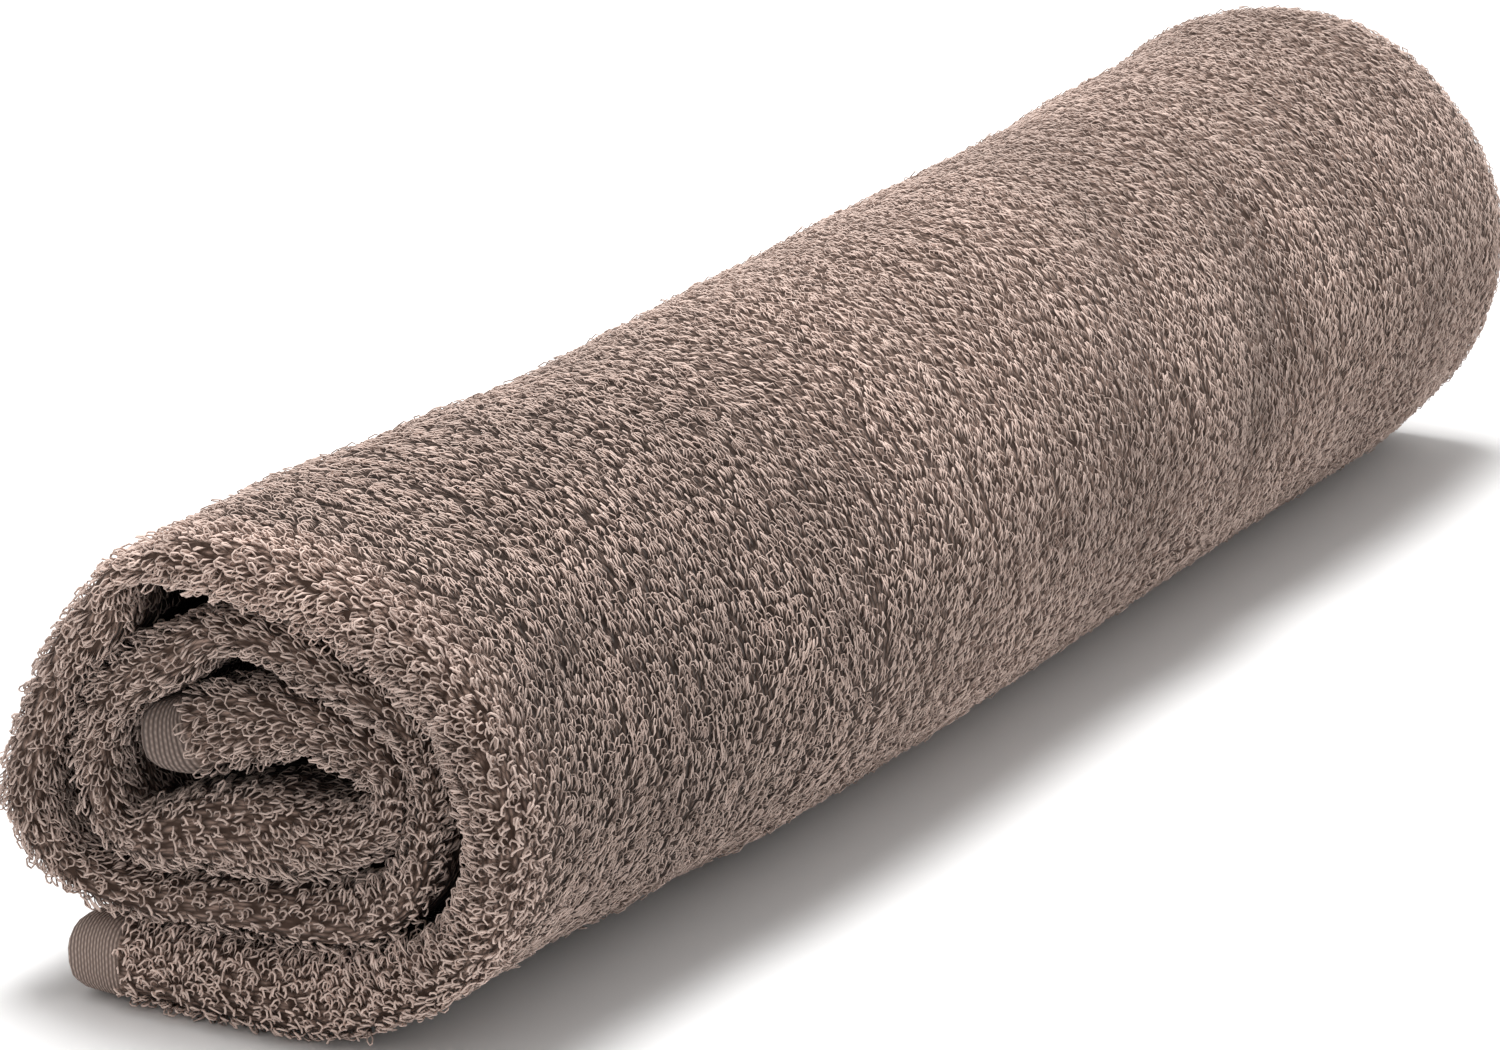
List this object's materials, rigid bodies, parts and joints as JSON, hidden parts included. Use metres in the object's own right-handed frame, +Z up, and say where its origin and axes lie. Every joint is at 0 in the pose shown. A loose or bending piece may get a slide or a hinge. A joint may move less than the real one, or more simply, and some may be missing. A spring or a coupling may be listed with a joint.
{
  "type": "rolled hand towel",
  "caption": "Terry hand towel, both short ends folded in to meet at the middle, then wound into a loose roll that lies on a small flat spot, with rounded folds at both ends.",
  "frame": {"origin": "middle of the underside of the bounding box, on the surface the roll rests on", "axes": "+X along the roll, from its loosely wound near end to its closely wound far end; +Y to the side where the free edge lies; +Z up"},
  "size_m": [0.3502, 0.0934, 0.0803],
  "materials": {
    "terry": "looped cotton terry, matt, warm grey-brown"
  },
  "bodies": {
    "root": {"rolled_towel": "terry"}
  },
  "joints": []
}
